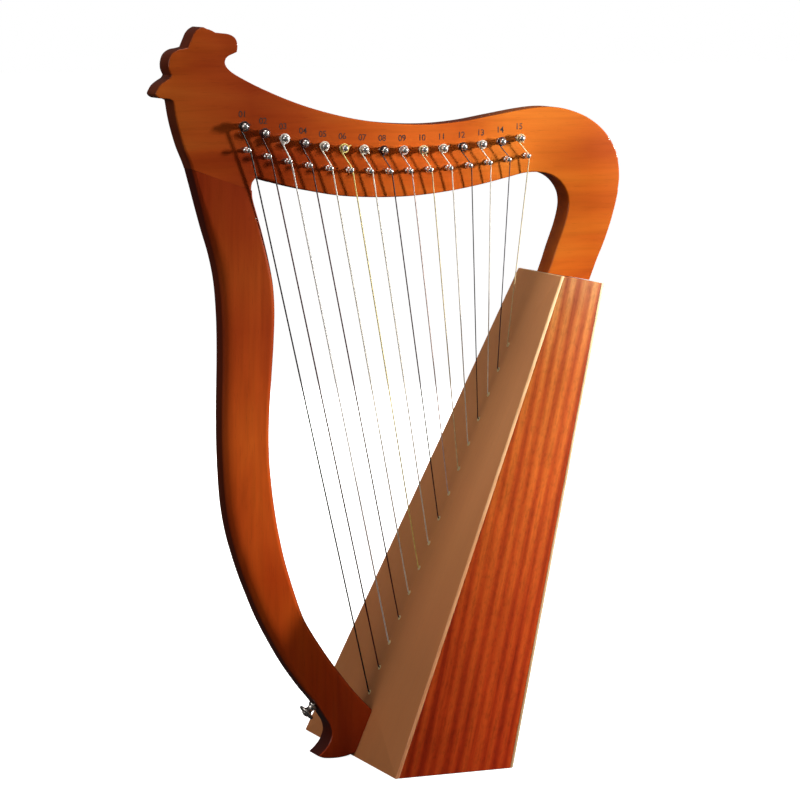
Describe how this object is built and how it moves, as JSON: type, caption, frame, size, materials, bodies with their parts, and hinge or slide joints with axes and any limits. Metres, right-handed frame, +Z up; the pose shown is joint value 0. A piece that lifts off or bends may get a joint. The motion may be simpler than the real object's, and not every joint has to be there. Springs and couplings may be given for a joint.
{
  "type": "celtic harp",
  "caption": "Small upright lap harp: flat-plate neck and pillar with a stepped scroll head, tapered soundbox, strings on turning pins along the neck.",
  "frame": {"origin": "middle of the bounding box in X and Y, on the table plane that the soundbox and the pillar's foot stand on", "axes": "+Z up the standing harp, +X from the pillar to the back of the soundbox, -Y the side that carries the strings, which is the player's left"},
  "size_m": [0.3973, 0.195, 0.5851],
  "materials": {
    "lacquered_wood": "orange-brown stained hardwood under glossy lacquer",
    "soundboard_wood": "matt tan-brown soundboard, light edges",
    "ribbon_wood": "ribbon-striped mahogany, glossy lacquer",
    "back_wood": "satin brown panel",
    "plain_wood": "unfinished inner wood",
    "pin_steel": "polished nickel-plated steel",
    "dark_nickel": "dark polished nickel",
    "eyelet_brass": "polished brass eyelets",
    "mark_ink": "dark printed numerals",
    "black_string": "black nylon string",
    "dark_red_string": "dark red nylon string",
    "wound_silver_string": "silver-wound string",
    "clear_silver_string": "light silver string",
    "yellow_string": "yellow nylon string",
    "pale_gold_string": "pale gold string",
    "violet_string": "dark violet nylon string"
  },
  "bodies": {
    "frame": {"neck": "lacquered_wood", "pillar": "lacquered_wood", "soundboard": "soundboard_wood", "side_panel_left": "ribbon_wood", "side_panel_right": "ribbon_wood", "back_panel": "back_wood", "top_panel": "ribbon_wood", "bottom_panel": "plain_wood", "top_block": "plain_wood", "bottom_block": "plain_wood", "string_rib": "plain_wood", "neck_screw": "pin_steel", "pillar_screw": "pin_steel", "strap_button": "dark_nickel", "strap_button_screw": "dark_nickel", "bridge_pin_01": "pin_steel", "bridge_pin_02": "pin_steel", "bridge_pin_03": "pin_steel", "bridge_pin_04": "pin_steel", "bridge_pin_05": "pin_steel", "bridge_pin_06": "pin_steel", "bridge_pin_07": "pin_steel", "bridge_pin_08": "pin_steel", "bridge_pin_09": "pin_steel", "bridge_pin_10": "pin_steel", "bridge_pin_11": "pin_steel", "bridge_pin_12": "pin_steel", "bridge_pin_13": "pin_steel", "bridge_pin_14": "pin_steel", "bridge_pin_15": "pin_steel", "string_01": "black_string", "string_02": "dark_red_string", "string_03": "wound_silver_string", "string_04": "dark_red_string", "string_05": "clear_silver_string", "string_06": "yellow_string", "string_07": "clear_silver_string", "string_08": "dark_red_string", "string_09": "clear_silver_string", "string_10": "pale_gold_string", "string_11": "clear_silver_string", "string_12": "black_string", "string_13": "clear_silver_string", "string_14": "violet_string", "string_15": "pale_gold_string"},
    "pin_01": {"tuning_pin_01": "pin_steel"},
    "pin_02": {"tuning_pin_02": "pin_steel"},
    "pin_03": {"tuning_pin_03": "pin_steel"},
    "pin_04": {"tuning_pin_04": "pin_steel"},
    "pin_05": {"tuning_pin_05": "pin_steel"},
    "pin_06": {"tuning_pin_06": "pin_steel"},
    "pin_07": {"tuning_pin_07": "pin_steel"},
    "pin_08": {"tuning_pin_08": "pin_steel"},
    "pin_09": {"tuning_pin_09": "pin_steel"},
    "pin_10": {"tuning_pin_10": "pin_steel"},
    "pin_11": {"tuning_pin_11": "pin_steel"},
    "pin_12": {"tuning_pin_12": "pin_steel"},
    "pin_13": {"tuning_pin_13": "pin_steel"},
    "pin_14": {"tuning_pin_14": "pin_steel"},
    "pin_15": {"tuning_pin_15": "pin_steel"}
  },
  "joints": [
    {"name": "turn_pin_01", "type": "hinge", "parent": "frame", "child": "pin_01", "pos_m": [-0.1282, 0, 0.5082], "axis": [0, 1, 0], "continuous": true},
    {"name": "turn_pin_02", "type": "hinge", "parent": "frame", "child": "pin_02", "pos_m": [-0.1112, 0, 0.5026], "axis": [0, 1, 0], "continuous": true},
    {"name": "turn_pin_03", "type": "hinge", "parent": "frame", "child": "pin_03", "pos_m": [-0.0946, 0, 0.498], "axis": [0, 1, 0], "continuous": true},
    {"name": "turn_pin_04", "type": "hinge", "parent": "frame", "child": "pin_04", "pos_m": [-0.0779, 0, 0.4943], "axis": [0, 1, 0], "continuous": true},
    {"name": "turn_pin_05", "type": "hinge", "parent": "frame", "child": "pin_05", "pos_m": [-0.0613, 0, 0.4914], "axis": [0, 1, 0], "continuous": true},
    {"name": "turn_pin_06", "type": "hinge", "parent": "frame", "child": "pin_06", "pos_m": [-0.0446, 0, 0.4893], "axis": [0, 1, 0], "continuous": true},
    {"name": "turn_pin_07", "type": "hinge", "parent": "frame", "child": "pin_07", "pos_m": [-0.0278, 0, 0.488], "axis": [0, 1, 0], "continuous": true},
    {"name": "turn_pin_08", "type": "hinge", "parent": "frame", "child": "pin_08", "pos_m": [-0.0108, 0, 0.4871], "axis": [0, 1, 0], "continuous": true},
    {"name": "turn_pin_09", "type": "hinge", "parent": "frame", "child": "pin_09", "pos_m": [0.0062, 0, 0.4867], "axis": [0, 1, 0], "continuous": true},
    {"name": "turn_pin_10", "type": "hinge", "parent": "frame", "child": "pin_10", "pos_m": [0.0232, 0, 0.4867], "axis": [0, 1, 0], "continuous": true},
    {"name": "turn_pin_11", "type": "hinge", "parent": "frame", "child": "pin_11", "pos_m": [0.0403, 0, 0.4872], "axis": [0, 1, 0], "continuous": true},
    {"name": "turn_pin_12", "type": "hinge", "parent": "frame", "child": "pin_12", "pos_m": [0.0574, 0, 0.4882], "axis": [0, 1, 0], "continuous": true},
    {"name": "turn_pin_13", "type": "hinge", "parent": "frame", "child": "pin_13", "pos_m": [0.0743, 0, 0.4897], "axis": [0, 1, 0], "continuous": true},
    {"name": "turn_pin_14", "type": "hinge", "parent": "frame", "child": "pin_14", "pos_m": [0.0912, 0, 0.4916], "axis": [0, 1, 0], "continuous": true},
    {"name": "turn_pin_15", "type": "hinge", "parent": "frame", "child": "pin_15", "pos_m": [0.1079, 0, 0.4939], "axis": [0, 1, 0], "continuous": true}
  ]
}
